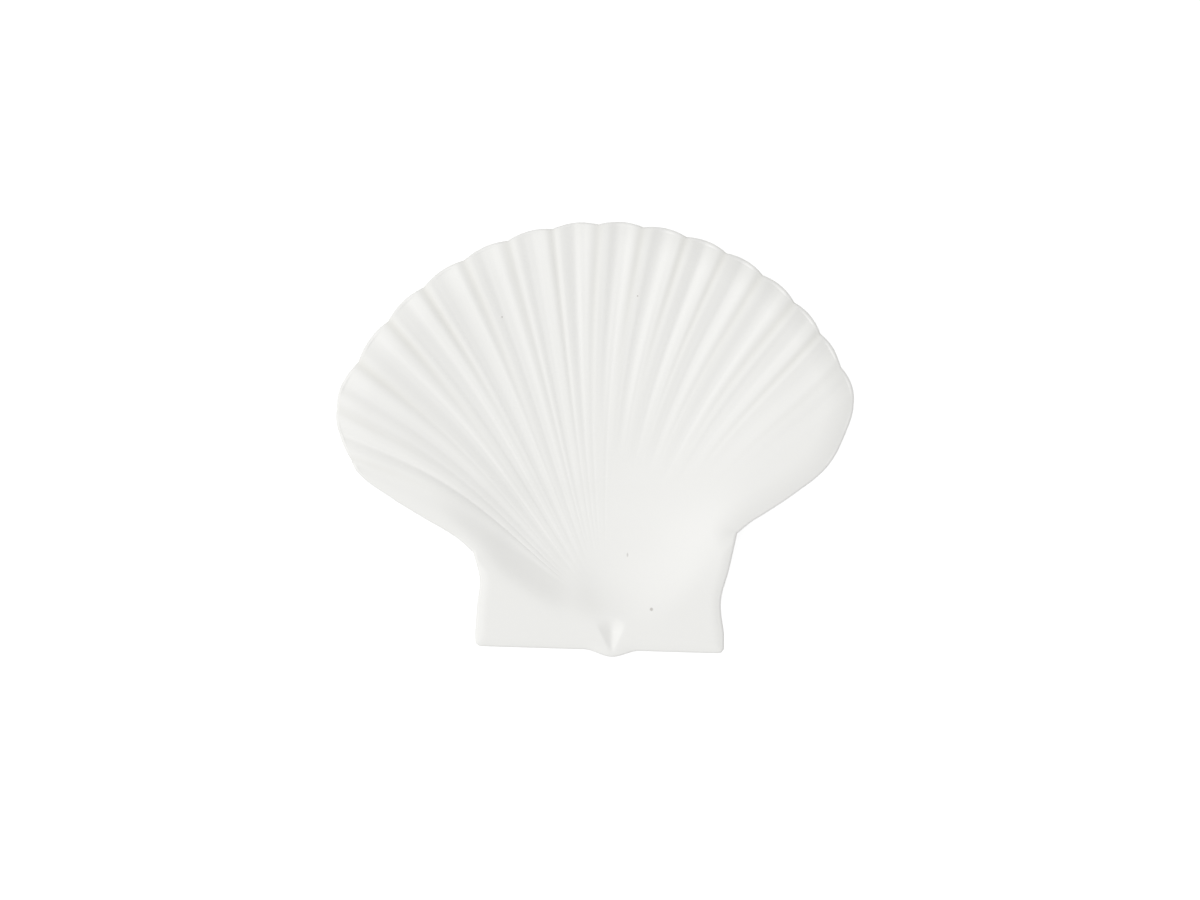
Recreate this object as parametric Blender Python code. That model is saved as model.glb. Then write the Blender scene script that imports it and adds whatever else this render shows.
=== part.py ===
"""Shell shaped platter: one fired ceramic wall, fluted like a scallop, hollow side up, on a foot ring.

The platter lies flat with its fan toward +Y and its hinge line toward -Y. Every size is in metres.
The skins start as one flat net. Across the net runs a place round the shell, up the net runs the way out from
the beak to the edge. The net is cut, bent into the fan and its two ears, and raised into the hollow.
"""
import math

import bmesh
import bpy
import numpy as np
from mathutils import Vector
from mathutils.geometry import interpolate_bezier

# Fan outline: an oval arc, with each lobe's underside running back to the neck
FAN_HALF_WIDTH = 0.1712
FAN_HALF_DEPTH = 0.1611
FAN_CENTRE = (-0.0011, -0.0275)
FAN_TURN = math.radians(20.2)
FAN_ARC_FROM = math.radians(-2.0)
FAN_ARC_TO = math.radians(141.0)
LEFT_LOBE = [(-0.1572, 0.0000), (-0.1476, -0.0204), (-0.1262, -0.0368), (-0.1069, -0.0487),
             (-0.0860, -0.0612)]
RIGHT_LOBE = [(0.1558, 0.0028), (0.1442, -0.0178), (0.1240, -0.0343), (0.1058, -0.0464),
              (0.0975, -0.0515)]
RIM_LOBE_POINTS = 1
FAN_ARC_POINTS = 16
LEFT_NECK = (-0.0755, -0.0705)
RIGHT_NECK = (0.0887, -0.0587)

# Ears and hinge line, with the beak's bump between them
LEFT_EAR_SIDE = [(-0.0714, -0.0870), (-0.0730, -0.1030), (-0.0743, -0.1200)]
RIGHT_EAR_SIDE = [(0.0836, -0.0810), (0.0785, -0.1010), (0.0806, -0.1220)]
EAR_CORNER_RADIUS = 0.0035
EAR_CORNER_POINTS = 4
HINGE_Y = -0.1304
HINGE_FALL = -0.030
BEAK_X = 0.0105
BEAK_BUMP = 0.0050
BEAK_BUMP_HALF_WIDTH = 0.0175

# Flutes: ridges in close pairs, a broad valley inside each pair and a thin crease between two pairs
RIB_APEX = (-0.0062, -0.0615)
RIB_AXIS = math.radians(92.0)
RIGHT_RIB_SPREAD = 0.145
RIB_SPREAD_SPAN = math.radians(50.0)
CALM_RIBS = 3.0
FIRST_RIB_FROM_CORNER = 0.009
RIB_PITCH = 0.0325
RIB_PITCH_LOSS = 0.00054
VALLEY_DEPTH = 0.00120
VALLEY_SHARPNESS = 1.6
CREASE_DEPTH = 0.00055
CREASE_WIDTH = 0.08
LEAN_HEIGHT = 0.00075
RIDGE_LEVEL = 0.30
RIM_LOBE = 0.0020
RIM_LOBE_POWER = 16
UNDER_SHARE = 0.5
FLANK_FADE = 0.4

# How strong the pairs and their lean are, by rib from the left
PAIR_STRENGTH = [(0, 0.35), (1, 1.0), (7, 0.9), (8, 0.7), (9.5, 0.9), (14, 0.85), (15, 0.45), (16, 0.0)]
PAIR_START = [(1, 0.37), (4, 0.48), (8, 0.52), (10, 0.43), (15, 0.45)]
PAIR_GROWTH = 0.50
LEAN_STRENGTH = [(0, 0.8), (1, 1.0), (2, 0.7), (3, 0.45), (5, 0.2), (12, 0.2), (14, 0.4), (16, 0.0)]
LEAN_RIDGE = [(1, 0.25), (2, 0.13), (3, -0.05), (6, -0.25), (16, -0.30)]
LEAN_START = [(1, 0.28), (2, 0.20), (4, 0.25), (8, 0.45)]
LEAN_GROWTH = 0.35

# Hollow, brim and beak groove
RIM_HEIGHT = 0.0215
HOLLOW_DEPTH = 0.01217
HOLLOW_LOW_POINT = (-0.0134, -0.0400)
HOLLOW_TIP = 0.376
FRONT_POWER = 1.02
LEFT_BACK_POWER = 5.06
RIGHT_BACK_POWER = 4.24
SIDE_BLEND_WIDTH = 0.100
FRONT_SOFTNESS = 0.059
BACK_SOFTNESS = 0.290
BACK_FROM = 0.0178
BACK_SPAN = 0.0460
HOLLOW_MARGIN = 0.0050
STEP_LOW_POINT = (0.0142, -0.1124)
LEFT_STEP_RISE = 5.88
RIGHT_STEP_RISE = 11.59
LEFT_BRIM = (0.0188, 0.0022)
RIGHT_BRIM = (0.0153, 0.0026)
BRIM_BLEND_WIDTH = 0.160
EAR_BRIM_WIDTH = 0.0070
EAR_BRIM_DROP = 0.0019
GROOVE_TIP_Y = -0.1294
GROOVE_FLOOR_SLOPE = 0.41
GROOVE_SIDE_SLOPE = 0.42
GROOVE_FLOOR_ROUND = 0.0006
GROOVE_BLEND = 0.0004
GROOVE_END_Y = -0.1080
GROOVE_FADE = 0.0120

# Wall and foot
WALL = 0.0050
EDGE_ROUND = 0.0019
EDGE_STEPS = 3
FOOT_HALF_WIDTH = 0.080
FOOT_HALF_DEPTH = 0.062
FOOT_CENTRE = (0.000, -0.010)
FOOT_WALL = 0.0070
FOOT_SIDES = 72

# Net
RIB_COLUMNS = 3
LEFT_STRIP_COLUMNS = 3
EAR_COLUMNS = 4
HINGE_COLUMNS = 5
BUMP_COLUMNS = 7
INNER_ROWS = 7
OUTER_ROWS = 10
NECK_FRACTION = 0.50
INNER_CROWDING = 1.3
OUTER_CROWDING = 1.5
COURSE_POLE = (0.0018, -0.1050)
POLE_ASIDE = 0.0080
POLE_ASIDE_POWER = 8
NET_POLE = (COURSE_POLE[0] + POLE_ASIDE, COURSE_POLE[1])
POLE_PULL_START = 1.6
POLE_PULL_POWER = 4.5
RIGHT_FLANK_PULL = 2.4
LEFT_FLANK_PULL = 0.35
LEAST_COLUMN_GAP = 0.3
COARSE_ROWS = 3
CURVE_STEPS = 8
REACH_DIRECTIONS = 360
REACH_SMOOTHING = 12
SHARP_ANGLE = math.radians(50.0)
BETWEEN = 0.5
SMALL = 1e-6


def polar(centre, angle, radius):
    return np.array([centre[0] + radius * math.cos(angle), centre[1] + radius * math.sin(angle)])


def smooth_line(points):
    """A curve through the points, as Bezier stretches whose handles follow the neighbours."""
    knots = [Vector((x, y, 0.0)) for x, y in points]
    slopes = [(knots[min(k + 1, len(knots) - 1)] - knots[max(k - 1, 0)]) / 6 for k in range(len(knots))]
    line = [knots[0]]
    for k in range(len(knots) - 1):
        stretch = (knots[k + 1] - knots[k]).length
        near = slopes[k].normalized() * stretch / 3
        far = slopes[k + 1].normalized() * stretch / 3
        line += interpolate_bezier(knots[k], knots[k] + near, knots[k + 1] - far, knots[k + 1], CURVE_STEPS)[1:]
    return np.array([(p.x, p.y) for p in line])


def smooth_step(share):
    share = np.clip(share, 0, 1)
    return share * share * (3 - 2 * share)


def fan_arc(angle):
    x = FAN_HALF_WIDTH * math.cos(angle)
    y = FAN_HALF_DEPTH * math.sin(angle)
    across, up = math.cos(FAN_TURN), math.sin(FAN_TURN)
    return (FAN_CENTRE[0] + x * across - y * up, FAN_CENTRE[1] + x * up + y * across)


def fan_outline():
    """From the right neck round the fan to the left neck, and the two lobe corners' places along it."""
    arc = [fan_arc(a) for a in np.linspace(FAN_ARC_FROM, FAN_ARC_TO, FAN_ARC_POINTS)]
    right = [RIGHT_NECK] + RIGHT_LOBE[::-1]
    left = LEFT_LOBE + [LEFT_NECK]
    line = smooth_line(right + arc + left)
    step = CURVE_STEPS - 1
    right_corner = step * (len(RIGHT_LOBE) - RIM_LOBE_POINTS)
    left_corner = step * (len(right) + len(arc) + RIM_LOBE_POINTS)
    return line, right_corner, left_corner


def hinge_y(x):
    away = min(abs(x - BEAK_X) / BEAK_BUMP_HALF_WIDTH, 1.0)
    return HINGE_Y + HINGE_FALL * (x - BEAK_X) - BEAK_BUMP * (1 + math.cos(math.pi * away)) / 2


def ear_corner(x, side):
    """A quarter round between an ear's side and the hinge line, met on the ear's side first."""
    centre = (x + side * EAR_CORNER_RADIUS, hinge_y(x + side * EAR_CORNER_RADIUS) + EAR_CORNER_RADIUS)
    turn = np.linspace(0, math.pi / 2, EAR_CORNER_POINTS)
    return [(centre[0] - side * EAR_CORNER_RADIUS * math.cos(a), centre[1] - EAR_CORNER_RADIUS * math.sin(a))
            for a in turn]


def back_outline():
    """From the left neck round both ears to the right neck: one point for each column of the net."""
    left_side = smooth_line([LEFT_NECK] + LEFT_EAR_SIDE)
    right_side = smooth_line([RIGHT_NECK] + RIGHT_EAR_SIDE)
    left_corner = ear_corner(LEFT_EAR_SIDE[-1][0], 1)
    right_corner = ear_corner(RIGHT_EAR_SIDE[-1][0], -1)
    bump = np.linspace(BEAK_X - BEAK_BUMP_HALF_WIDTH, BEAK_X + BEAK_BUMP_HALF_WIDTH, BUMP_COLUMNS * 2 + 1)
    left_hinge = np.linspace(left_corner[-1][0], bump[0], HINGE_COLUMNS + 1)[1:-1]
    right_hinge = np.linspace(bump[-1], right_corner[-1][0], HINGE_COLUMNS + 1)[1:-1]
    hinge = [(x, hinge_y(x)) for x in [*left_hinge, *bump, *right_hinge]]
    return np.array([*spaced(left_side, EAR_COLUMNS)[:-1], *left_corner, *hinge,
                     *right_corner[::-1], *spaced(right_side, EAR_COLUMNS)[:-1][::-1]])


def lengths_along(line):
    steps = np.linalg.norm(np.diff(line, axis=0), axis=1)
    return np.concatenate([[0.0], np.cumsum(steps)])


def at_length(line, distance):
    along = lengths_along(line)
    return np.array([np.interp(distance, along, line[:, 0]), np.interp(distance, along, line[:, 1])])


def spaced(line, count):
    total = lengths_along(line)[-1]
    return [at_length(line, total * k / count) for k in range(count + 1)]


def ring_normals(ring):
    """Outward normals of a closed ring of points that runs counter-clockwise."""
    runs = np.roll(ring, -1, axis=0) - ring
    runs = runs / np.linalg.norm(runs, axis=1)[:, None]
    turned = runs + np.roll(runs, 1, axis=0)
    turned = turned / np.linalg.norm(turned, axis=1)[:, None]
    return np.column_stack([turned[:, 1], -turned[:, 0]])


def inset_lines():
    """The fan's and the back's lines, moved in to where the edge's round begins, and the lobe corners."""
    fan, right_corner, left_corner = fan_outline()
    back = back_outline()
    ring = np.vstack([fan, back[1:-1]])
    ring = ring - EDGE_ROUND * ring_normals(ring)
    return ring[:len(fan)], np.vstack([ring[len(fan) - 1:], ring[:1]]), right_corner, left_corner


FAN_LINE, BACK_LINE, RIGHT_CORNER, LEFT_CORNER = inset_lines()
RIM_LINE = FAN_LINE[RIGHT_CORNER:LEFT_CORNER + 1][::-1]
RIM_LENGTH = lengths_along(RIM_LINE)[-1]
RIGHT_FLANK = FAN_LINE[:RIGHT_CORNER + 1]
LEFT_FLANK = FAN_LINE[LEFT_CORNER:][::-1]


def rib_place(rib):
    """How far along the rim a rib stands, from the left lobe's corner."""
    return FIRST_RIB_FROM_CORNER + RIB_PITCH * rib - RIB_PITCH_LOSS * rib * rib / 2


def rib_at(distance):
    """The rib number at a distance along the rim, which is rib_place the other way round."""
    reach = RIB_PITCH ** 2 - 2 * RIB_PITCH_LOSS * (distance - FIRST_RIB_FROM_CORNER)
    return (RIB_PITCH - math.sqrt(reach)) / RIB_PITCH_LOSS


def rib_columns():
    """The rib numbers of the fan's columns, from the right lobe's corner to the left one."""
    left, right = rib_at(0.0), rib_at(RIM_LENGTH)
    last = math.floor(right * RIB_COLUMNS - LEAST_COLUMN_GAP)
    strip = np.linspace(0, left, LEFT_STRIP_COLUMNS + 1)
    return np.array([right, *(np.arange(last, 0, -1) / RIB_COLUMNS), *strip])


RIB_NUMBERS = rib_columns()
FAN_COLUMNS = len(RIB_NUMBERS) - 1
BACK_COLUMNS = len(BACK_LINE) - 1
ALL_COLUMNS = FAN_COLUMNS + BACK_COLUMNS


def out_fraction(row):
    """Rows are even up to the neck and crowd toward the edge beyond it."""
    if row <= INNER_ROWS:
        return NECK_FRACTION * row / INNER_ROWS
    left = 1 - (row - INNER_ROWS) / OUTER_ROWS
    return NECK_FRACTION + (1 - NECK_FRACTION) * (1 - left ** OUTER_CROWDING)


def free_rib(rib, out):
    """A rib line from the pole to the rim. On the right they swing wider on their way in, save the last."""
    away = at_length(RIM_LINE, rib_place(rib)) - np.array(RIB_APEX)
    swing = math.atan2(away[1], away[0]) - RIB_AXIS
    calm = smooth_step((RIB_NUMBERS[0] - rib) / CALM_RIBS)
    spread = 1 + RIGHT_RIB_SPREAD * calm * (1 - out) * (min(swing, 0.0) / RIB_SPREAD_SPAN) ** 2
    place = polar(RIB_APEX, RIB_AXIS + swing * spread, np.linalg.norm(away) * out)
    pull = (1 - out ** POLE_PULL_START) ** POLE_PULL_POWER
    aside = (1 - out) ** POLE_ASIDE_POWER
    return place + np.array([POLE_ASIDE * aside, 0.0]) + (np.array(COURSE_POLE) - np.array(RIB_APEX)) * pull


def inner_point(end, out):
    """On the straight line from the pole to a point of the neck or the ears, crowding toward that point."""
    return NET_POLE + (end - NET_POLE) * (1 - (1 - out / NECK_FRACTION) ** INNER_CROWDING)


def flank_point(flank, out):
    """On the line from the pole to the neck, then along the lobe's underside."""
    if out <= NECK_FRACTION:
        return inner_point(flank[0], out)
    share = (out - NECK_FRACTION) / (1 - NECK_FRACTION)
    return at_length(flank, lengths_along(flank)[-1] * share)


def fan_point(rib, out):
    """A rib's point, drawn onto the line of a flank where the rib is near it."""
    place = free_rib(rib, out)
    for flank, edge_rib, reach in ((RIGHT_FLANK, RIB_NUMBERS[0], RIGHT_FLANK_PULL),
                                   (LEFT_FLANK, RIB_NUMBERS[-1], LEFT_FLANK_PULL)):
        pull = max(0.0, 1 - abs(rib - edge_rib) / reach) ** 2
        if pull:
            place = place + pull * (flank_point(flank, out) - free_rib(edge_rib, out))
    return place


def back_point(column, out):
    index = column - FAN_COLUMNS
    end = np.array([np.interp(index, range(len(BACK_LINE)), BACK_LINE[:, k]) for k in (0, 1)])
    return inner_point(end, out)


def distance_to(line, points):
    starts, runs = line[:-1], np.diff(line, axis=0)
    offsets = points[:, None, :] - starts[None, :, :]
    share = np.clip((offsets * runs).sum(2) / (runs ** 2).sum(1), 0, 1)
    return np.linalg.norm(offsets - share[:, :, None] * runs, axis=2).min(1)


def step_distance(turns):
    """How far the hollow's low point is from the step, a parabola in plan, in each direction."""
    run, climb = np.cos(turns), np.sin(turns)
    rise = np.where(run < 0, LEFT_STEP_RISE, RIGHT_STEP_RISE)
    aside = HOLLOW_LOW_POINT[0] - STEP_LOW_POINT[0]
    square = rise * run ** 2
    linear = 2 * rise * run * aside - climb
    fixed = rise * aside ** 2 + STEP_LOW_POINT[1] - HOLLOW_LOW_POINT[1]
    return -2 * fixed / np.maximum(linear + np.sqrt(linear ** 2 - 4 * square * fixed), SMALL)


def hollow_reach():
    """How far the hollow reaches from its low point in each direction, to the fan's brim or the step."""
    turns = np.linspace(-math.pi, math.pi, REACH_DIRECTIONS + 1)
    line = FAN_LINE - np.array(HOLLOW_LOW_POINT)
    angles = np.unwrap(np.arctan2(line[:, 1], line[:, 0]))
    radii = np.linalg.norm(line, axis=1) - HOLLOW_MARGIN
    reach = step_distance(turns)
    for whole in (turns, turns + 2 * math.pi):
        seen = (whole >= angles.min()) & (whole <= angles.max())
        reach[seen] = np.minimum(reach[seen], np.interp(whole[seen], angles, radii))
    kernel = np.hanning(2 * REACH_SMOOTHING + 1)
    ring = reach[:-1]
    wrapped = np.concatenate([ring[-REACH_SMOOTHING:], ring, ring[:REACH_SMOOTHING]])
    soft = np.convolve(wrapped, kernel / kernel.sum(), mode="valid")
    return turns, np.append(soft, soft[0])


HOLLOW_TURNS, HOLLOW_RADII = hollow_reach()


def soft_max(a, b, softness):
    return (a + b + np.sqrt((a - b) ** 2 + softness ** 2)) / 2


def brim_fall(points):
    """How far the face turns down toward its edge, more on the fan's right than on its left."""
    right = smooth_step(points[:, 0] / BRIM_BLEND_WIDTH + BETWEEN)
    width = LEFT_BRIM[0] + (RIGHT_BRIM[0] - LEFT_BRIM[0]) * right
    drop = LEFT_BRIM[1] + (RIGHT_BRIM[1] - LEFT_BRIM[1]) * right
    fan_fall = drop * np.clip(1 - distance_to(FAN_LINE, points) / width, 0, 1) ** 2
    ear_fall = EAR_BRIM_DROP * np.clip(1 - distance_to(BACK_LINE, points) / EAR_BRIM_WIDTH, 0, 1) ** 2
    return np.maximum(fan_fall, ear_fall)


def base_height(points):
    """The upper face without flutes: brim level, less the hollow, the beak's groove and the brim's fall."""
    away = points - np.array(HOLLOW_LOW_POINT)
    reach = np.interp(np.arctan2(away[:, 1], away[:, 0]), HOLLOW_TURNS, HOLLOW_RADII)
    back = smooth_step((BACK_FROM - away[:, 1]) / BACK_SPAN)
    right = smooth_step(away[:, 0] / SIDE_BLEND_WIDTH + BETWEEN)
    back_power = LEFT_BACK_POWER + (RIGHT_BACK_POWER - LEFT_BACK_POWER) * right
    power = FRONT_POWER + (back_power - FRONT_POWER) * back
    softness = FRONT_SOFTNESS + (BACK_SOFTNESS - FRONT_SOFTNESS) * back
    share = np.hypot(np.linalg.norm(away, axis=1) / reach, HOLLOW_TIP)
    hollow = HOLLOW_DEPTH * softness * np.logaddexp(0, (1 - share ** power) / softness)
    groove = (GROOVE_FLOOR_SLOPE * (points[:, 1] - GROOVE_TIP_Y)
              - GROOVE_SIDE_SLOPE * np.hypot(points[:, 0] - BEAK_X, GROOVE_FLOOR_ROUND))
    fade = np.clip((GROOVE_END_Y - points[:, 1]) / GROOVE_FADE, 0, 1)
    groove = np.clip(groove, 0, HOLLOW_DEPTH) * fade
    return RIM_HEIGHT - soft_max(hollow, groove, GROOVE_BLEND) - brim_fall(points)


def by_rib(pairs, rib):
    """A value that changes evenly from rib to rib between the ones that are listed."""
    return np.interp(rib, [number for number, _ in pairs], [value for _, value in pairs])


def growth(start, span, out):
    return smooth_step((out - start) / span)


def flutes(rib, out):
    """What the flutes add: a valley and a crease, and one ridge of each pair stands above the other."""
    valley = ((1 - np.cos(2 * np.pi * rib)) / 2) ** VALLEY_SHARPNESS
    crease = np.exp(-(((rib + BETWEEN) % 1 - BETWEEN) / CREASE_WIDTH) ** 2)
    pair = by_rib(PAIR_STRENGTH, rib) * growth(by_rib(PAIR_START, rib), PAIR_GROWTH, out)
    lean = by_rib(LEAN_STRENGTH, rib) * growth(by_rib(LEAN_START, rib), LEAN_GROWTH, out)
    swell = np.cos(2 * np.pi * (rib - by_rib(LEAN_RIDGE, rib)))
    flanks = np.clip(np.minimum(rib - RIB_NUMBERS[-1], RIB_NUMBERS[0] - rib) / FLANK_FADE, 0, 1)
    paired = RIDGE_LEVEL * VALLEY_DEPTH - VALLEY_DEPTH * valley - CREASE_DEPTH * crease
    return flanks * (pair * paired + lean * LEAN_HEIGHT / 2 * swell)


def rim_lobe(rib, out):
    """How far a lobe of the rim stands out, with a notch where two lobes meet."""
    return RIM_LOBE * (abs(math.sin(math.pi * rib)) - 2 / math.pi) * out ** RIM_LOBE_POWER


def flat_net():
    """The net before it is bent: x counts columns round the shell, y counts rows outward."""
    net = bmesh.new()
    rows = INNER_ROWS + OUTER_ROWS
    bmesh.ops.create_grid(net, x_segments=ALL_COLUMNS, y_segments=rows, size=BETWEEN)
    bmesh.ops.translate(net, verts=net.verts, vec=(BETWEEN, BETWEEN, 0))
    bmesh.ops.scale(net, verts=net.verts, vec=(ALL_COLUMNS, rows, 1))
    beyond = [f for f in net.faces
              if f.calc_center_median().x > FAN_COLUMNS and f.calc_center_median().y > INNER_ROWS]
    bmesh.ops.delete(net, geom=beyond, context="FACES")
    across = [e for e in net.edges
              if abs(e.verts[0].co.y - e.verts[1].co.y) < BETWEEN
              and max(e.verts[0].co.x, e.verts[1].co.x) < FAN_COLUMNS + BETWEEN
              and e.verts[0].co.y > COARSE_ROWS - BETWEEN]
    bmesh.ops.subdivide_edges(net, edges=across, cuts=1, use_grid_fill=False)
    return net


def bend(net, upper):
    """Moves the net's points to their places on the upper or the under face."""
    for vert in net.verts:
        column, row = round(vert.co.x * 2) / 2, round(vert.co.y)
        out = out_fraction(row)
        if column <= FAN_COLUMNS:
            rib = float(np.interp(column, range(FAN_COLUMNS + 1), RIB_NUMBERS))
            place = fan_point(rib, out)
            lift = float(flutes(rib, out)) * (1 if upper else UNDER_SHARE)
            outward = place - np.array(RIB_APEX)
            place = place + rim_lobe(rib, out) * outward / max(np.linalg.norm(outward), SMALL)
        else:
            place = back_point(column, out)
            lift = 0.0
        level = base_height(place[None, :])[0] + lift
        vert.co = (place[0], place[1], level if upper else level - WALL)
    bmesh.ops.remove_doubles(net, verts=net.verts, dist=SMALL)


def boundary_ring(net):
    """The boundary's points in order, counter-clockwise seen from above."""
    left = {e for e in net.edges if e.is_boundary}
    edge = next(iter(left))
    ring = [edge.verts[0]]
    while True:
        edge = next((e for e in ring[-1].link_edges if e in left), None)
        if edge is None:
            break
        left.remove(edge)
        ring.append(edge.other_vert(ring[-1]))
    ring.pop()
    plan = np.array([v.co.xy for v in ring])
    turned = np.roll(plan, -1, axis=0)
    area = (plan[:, 0] * turned[:, 1] - plan[:, 1] * turned[:, 0]).sum()
    return ring if area > 0 else ring[::-1]


def round_edge(net, upward):
    """Rolls the boundary outward through a quarter round, down from the upper face or up from the under."""
    ring = boundary_ring(net)
    start = np.array([v.co for v in ring])
    normals = ring_normals(start[:, :2])
    places = {v: k for k, v in enumerate(ring)}
    for step in range(1, EDGE_STEPS + 1):
        angle = math.pi / 2 * step / EDGE_STEPS
        drop = EDGE_ROUND * (1 - math.cos(angle)) * (1 if upward else -1)
        edges = [e for e in net.edges if e.is_boundary]
        made = bmesh.ops.extrude_edge_only(net, edges=edges)["geom"]
        moved = {}
        for vert in [g for g in made if isinstance(g, bmesh.types.BMVert)]:
            k = next(places[e.other_vert(vert)] for e in vert.link_edges if e.other_vert(vert) in places)
            out = start[k, :2] + normals[k] * EDGE_ROUND * math.sin(angle)
            vert.co = (out[0], out[1], start[k, 2] + drop)
            moved[vert] = k
        places = moved


def skin(upper):
    """One face of the wall with its half of the rounded edge."""
    net = flat_net()
    bend(net, upper)
    round_edge(net, not upper)
    if not upper:
        bmesh.ops.reverse_faces(net, faces=net.faces)
    mesh = bpy.data.meshes.new("skin")
    net.to_mesh(mesh)
    net.free()
    return mesh


def box_middle(verts):
    """The middle of the points' box in plan."""
    xs = [v.co.x for v in verts]
    ys = [v.co.y for v in verts]
    return Vector(((min(xs) + max(xs)) / 2, (min(ys) + max(ys)) / 2, 0.0))


def platter_mesh():
    """The whole wall with its box's middle on the origin, and where that middle was before."""
    shell = bmesh.new()
    for upper in (True, False):
        face = skin(upper)
        shell.from_mesh(face)
        bpy.data.meshes.remove(face)
    bmesh.ops.bridge_loops(shell, edges=[e for e in shell.edges if e.is_boundary])
    bmesh.ops.recalc_face_normals(shell, faces=shell.faces)
    middle = box_middle(shell.verts)
    bmesh.ops.translate(shell, verts=shell.verts, vec=-middle)
    mesh = bpy.data.meshes.new("platter")
    shell.to_mesh(mesh)
    shell.free()
    mesh.shade_smooth()
    mesh.set_sharp_from_angle(angle=SHARP_ANGLE)
    return mesh, middle


def foot_mesh(middle):
    """An oval ring from the table up into the wall's middle."""
    ring = bmesh.new()
    bmesh.ops.create_circle(ring, cap_ends=False, segments=FOOT_SIDES, radius=1.0)
    inner = bmesh.ops.extrude_edge_only(ring, edges=list(ring.edges))
    inner_verts = [v for v in inner["geom"] if isinstance(v, bmesh.types.BMVert)]
    outer_verts = [v for v in ring.verts if v not in inner_verts]
    for verts, trim in ((outer_verts, 0.0), (inner_verts, FOOT_WALL)):
        bmesh.ops.scale(ring, verts=verts, vec=(FOOT_HALF_WIDTH - trim, FOOT_HALF_DEPTH - trim, 1))
    bmesh.ops.translate(ring, verts=ring.verts, vec=(*FOOT_CENTRE, 0))
    raised = bmesh.ops.extrude_face_region(ring, geom=list(ring.faces))
    for vert in [v for v in raised["geom"] if isinstance(v, bmesh.types.BMVert)]:
        vert.co.z = base_height(np.array([[vert.co.x, vert.co.y]]))[0] - WALL / 2
    bmesh.ops.translate(ring, verts=ring.verts, vec=-middle)
    bmesh.ops.recalc_face_normals(ring, faces=ring.faces)
    mesh = bpy.data.meshes.new("foot_ring")
    ring.to_mesh(mesh)
    ring.free()
    return mesh


def glaze():
    material = bpy.data.materials.new("white_glaze")
    material.use_nodes = True
    shader = material.node_tree.nodes["Principled BSDF"]
    shader.inputs["Base Color"].default_value = (0.83, 0.83, 0.80, 1)
    shader.inputs["Roughness"].default_value = 0.32
    shader.inputs["Metallic"].default_value = 0.0
    return material


def main():
    for thing in list(bpy.data.objects):
        bpy.data.objects.remove(thing)
    shell, middle = platter_mesh()
    platter = bpy.data.objects.new("platter", shell)
    foot = bpy.data.objects.new("foot_ring_form", foot_mesh(middle))
    for thing in (platter, foot):
        bpy.context.scene.collection.objects.link(thing)
    foot.hide_render = True
    foot.display_type = "WIRE"
    platter.data.materials.append(glaze())
    join = platter.modifiers.new("foot_ring", "BOOLEAN")
    join.operation = "UNION"
    join.solver = "EXACT"
    join.object = foot


main()
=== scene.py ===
# %% [markdown]
# # A shell shaped platter
#
# The object is one piece of fired, glazed clay: a shallow dish that copies the hollow side of a scallop
# valve. It lies flat, its fluted fan away from the reader and its hinge line near. Every size is in metres.
#
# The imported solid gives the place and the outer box. What it can't show, because a solid is kept light, is
# the fine relief of the flutes and the glaze. So this script builds the same wall again with a finer net,
# gives it a glaze, and lets it stand for the solid. It works toward the wall step by step: the line round the
# platter, a flat net that follows the ribs, the heights that the net takes on, and at last the two skins.

# %% Load the solid and note its box
import math

import bmesh
import bpy
import numpy as np
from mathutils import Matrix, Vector
from mathutils.geometry import interpolate_bezier


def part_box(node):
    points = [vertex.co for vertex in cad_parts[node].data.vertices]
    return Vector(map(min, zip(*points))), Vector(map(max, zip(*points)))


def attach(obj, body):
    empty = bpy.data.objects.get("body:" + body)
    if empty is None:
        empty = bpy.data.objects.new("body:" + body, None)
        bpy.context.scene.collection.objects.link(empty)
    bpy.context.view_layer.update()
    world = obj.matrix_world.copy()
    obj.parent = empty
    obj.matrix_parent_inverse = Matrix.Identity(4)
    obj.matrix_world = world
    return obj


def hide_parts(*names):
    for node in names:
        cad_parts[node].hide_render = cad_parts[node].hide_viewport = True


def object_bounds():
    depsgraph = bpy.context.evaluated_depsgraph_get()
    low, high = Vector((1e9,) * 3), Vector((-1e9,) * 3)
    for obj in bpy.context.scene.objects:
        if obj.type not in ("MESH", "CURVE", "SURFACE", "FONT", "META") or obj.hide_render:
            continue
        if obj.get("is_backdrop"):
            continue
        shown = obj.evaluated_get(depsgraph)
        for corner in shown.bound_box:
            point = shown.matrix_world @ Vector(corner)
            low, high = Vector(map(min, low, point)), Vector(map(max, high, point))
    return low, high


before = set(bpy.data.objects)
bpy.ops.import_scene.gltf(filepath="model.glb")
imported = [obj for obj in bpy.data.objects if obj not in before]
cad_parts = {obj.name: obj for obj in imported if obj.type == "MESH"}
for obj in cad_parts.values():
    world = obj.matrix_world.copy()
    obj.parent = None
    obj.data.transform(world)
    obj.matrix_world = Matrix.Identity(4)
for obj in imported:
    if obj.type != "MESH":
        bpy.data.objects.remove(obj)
start_box = [list(corner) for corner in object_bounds()]
low, high = (Vector(corner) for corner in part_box("platter"))
print("solid's box, mm:", [round(1000 * side, 1) for side in high - low])

# %% [markdown]
# ## Outline
#
# Seen from above, the platter's edge is a fan that is nearly an oval, with two lobes that turn back to a
# narrow neck, and two ears beyond the neck with the hinge line between them. The fan is taken as an arc of
# an oval. The lobes and the ears' sides are short curves through a few points each. A curve through points
# could also be drawn by hand in the viewport, but a formula keeps each size where it can be changed.

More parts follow.
